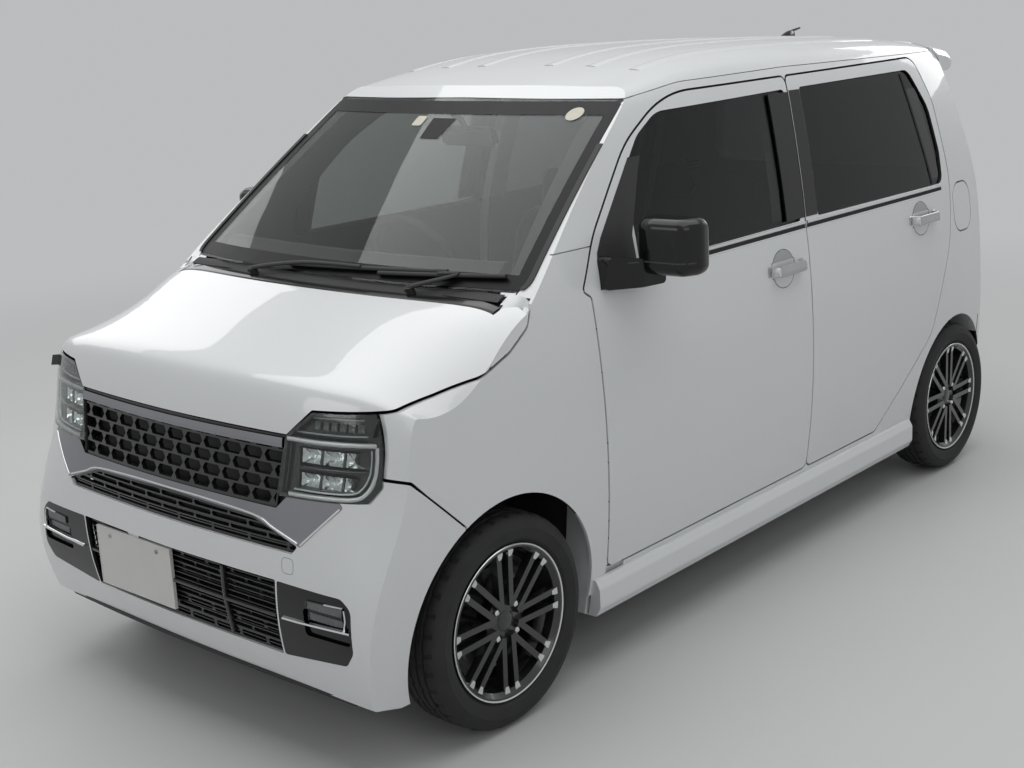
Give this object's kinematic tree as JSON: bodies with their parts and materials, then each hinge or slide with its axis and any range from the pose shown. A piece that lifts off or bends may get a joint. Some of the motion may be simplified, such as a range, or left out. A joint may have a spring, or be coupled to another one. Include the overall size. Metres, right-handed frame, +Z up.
{
  "type": "kei car",
  "caption": "Tall five-door kei car with opening doors, bonnet and tailgate, steered front wheels and a full cabin.",
  "frame": {"origin": "on the ground under the middle of the car's length and width", "axes": "+X to the front, +Y to the car's left, +Z up"},
  "size_m": [3.3942, 1.8646, 1.6581],
  "materials": {
    "paint": "pearl white, glossy",
    "black_gloss": "gloss black",
    "grille_black": "satin black",
    "chrome": "smoked chrome",
    "clear_glass": "clear",
    "front_glass": "green tint",
    "dark_glass": "dark privacy tint",
    "lamp": "bright reflectors in dark housings",
    "tail_lamp": "clear red",
    "chassis": "satin black",
    "trim": "grained",
    "seat_cloth": "dark woven cloth",
    "engine_metal": "cast",
    "steel": "dull",
    "alloy": "black with a machined lip",
    "tyre": "matte"
  },
  "bodies": {
    "body": {"side_frames": "paint", "roof": "paint", "fenders": "paint", "windscreen": "clear_glass", "grilles": "grille_black", "grille_trim": "chrome", "fog_lamps": "black_gloss", "headlamp_lenses": "clear_glass", "headlamps": "lamp", "front_bumper": "paint", "rear_bumper": "paint", "tail_lamps": "tail_lamp", "floor_pan": "chassis", "dashboard": "trim", "cowl": "black_gloss", "front_seats": "seat_cloth", "rear_seat": "seat_cloth", "engine": "engine_metal", "exhaust": "steel", "fuel_tank": "steel", "front_suspension": "chassis", "rear_axle": "chassis", "side_skirts": "paint"},
    "door_front_left": {"door_FL": "paint", "glass_FL": "front_glass", "mirror_L": "black_gloss"},
    "door_front_right": {"door_FR": "paint", "glass_FR": "front_glass", "mirror_R": "black_gloss"},
    "door_rear_left": {"door_RL": "paint", "glass_RL": "dark_glass"},
    "door_rear_right": {"door_RR": "paint", "glass_RR": "dark_glass"},
    "bonnet": {"bonnet": "paint"},
    "tailgate": {"tailgate": "paint", "tailgate_glass": "dark_glass"},
    "fuel_lid": {"fuel_lid": "paint"},
    "steering_wheel": {"steering_wheel": "trim"},
    "steered_left": {"knuckle_L": "chassis"},
    "steered_right": {"knuckle_R": "chassis"},
    "wheel_front_left": {"wheel_FL": "alloy", "tyre_FL": "tyre"},
    "wheel_front_right": {"wheel_FR": "alloy", "tyre_FR": "tyre"},
    "wheel_rear_left": {"wheel_RL": "alloy", "tyre_RL": "tyre"},
    "wheel_rear_right": {"wheel_RR": "alloy", "tyre_RR": "tyre"}
  },
  "joints": [
    {"name": "door_front_left_hinge", "type": "hinge", "parent": "body", "child": "door_front_left", "pos_m": [0.85, 0.733, 0.7], "axis": [0, 0.0698, -0.9976], "range_deg": [0, 68]},
    {"name": "door_front_right_hinge", "type": "hinge", "parent": "body", "child": "door_front_right", "pos_m": [0.85, -0.733, 0.7], "axis": [0, 0.0698, 0.9976], "range_deg": [0, 68]},
    {"name": "door_rear_left_hinge", "type": "hinge", "parent": "body", "child": "door_rear_left", "pos_m": [-0.25, 0.733, 0.7], "axis": [0, 0, -1], "range_deg": [0, 75]},
    {"name": "door_rear_right_hinge", "type": "hinge", "parent": "body", "child": "door_rear_right", "pos_m": [-0.25, -0.733, 0.7], "axis": [0, 0, 1], "range_deg": [0, 75]},
    {"name": "bonnet_hinge", "type": "hinge", "parent": "body", "child": "bonnet", "pos_m": [1.115, 0, 1.062], "axis": [0, -1, 0], "range_deg": [0, 50]},
    {"name": "tailgate_hinge", "type": "hinge", "parent": "body", "child": "tailgate", "pos_m": [-1.446, 0, 1.625], "axis": [0, 1, 0], "range_deg": [0, 78]},
    {"name": "fuel_lid_hinge", "type": "hinge", "parent": "body", "child": "fuel_lid", "pos_m": [-1.3, 0.7175, 1], "axis": [0, 0, -1], "range_deg": [0, 95]},
    {"name": "steer_left", "type": "hinge", "parent": "body", "child": "steered_left", "pos_m": [1.2125, 0.6, 0.281], "axis": [0, 0, 1], "range_deg": [-35, 35]},
    {"name": "steer_right", "type": "hinge", "parent": "body", "child": "steered_right", "pos_m": [1.2125, -0.6, 0.281], "axis": [0, 0, 1], "range_deg": [-35, 35]},
    {"name": "steering_wheel_turn", "type": "hinge", "parent": "body", "child": "steering_wheel", "pos_m": [0.43, -0.34, 0.985], "axis": [-0.9, 0, 0.436], "range_deg": [-500, 500]},
    {"name": "wheel_front_left_spin", "type": "hinge", "parent": "steered_left", "child": "wheel_front_left", "pos_m": [1.2125, 0.645, 0.281], "axis": [0, 1, 0], "continuous": true},
    {"name": "wheel_front_right_spin", "type": "hinge", "parent": "steered_right", "child": "wheel_front_right", "pos_m": [1.2125, -0.645, 0.281], "axis": [0, 1, 0], "continuous": true},
    {"name": "wheel_rear_left_spin", "type": "hinge", "parent": "body", "child": "wheel_rear_left", "pos_m": [-1.3075, 0.645, 0.281], "axis": [0, 1, 0], "continuous": true},
    {"name": "wheel_rear_right_spin", "type": "hinge", "parent": "body", "child": "wheel_rear_right", "pos_m": [-1.3075, -0.645, 0.281], "axis": [0, 1, 0], "continuous": true}
  ],
  "couplings": [
    {"joint": "steer_right", "follows": "steer_left", "ratio": 1},
    {"joint": "steering_wheel_turn", "follows": "steer_left", "ratio": 14}
  ]
}
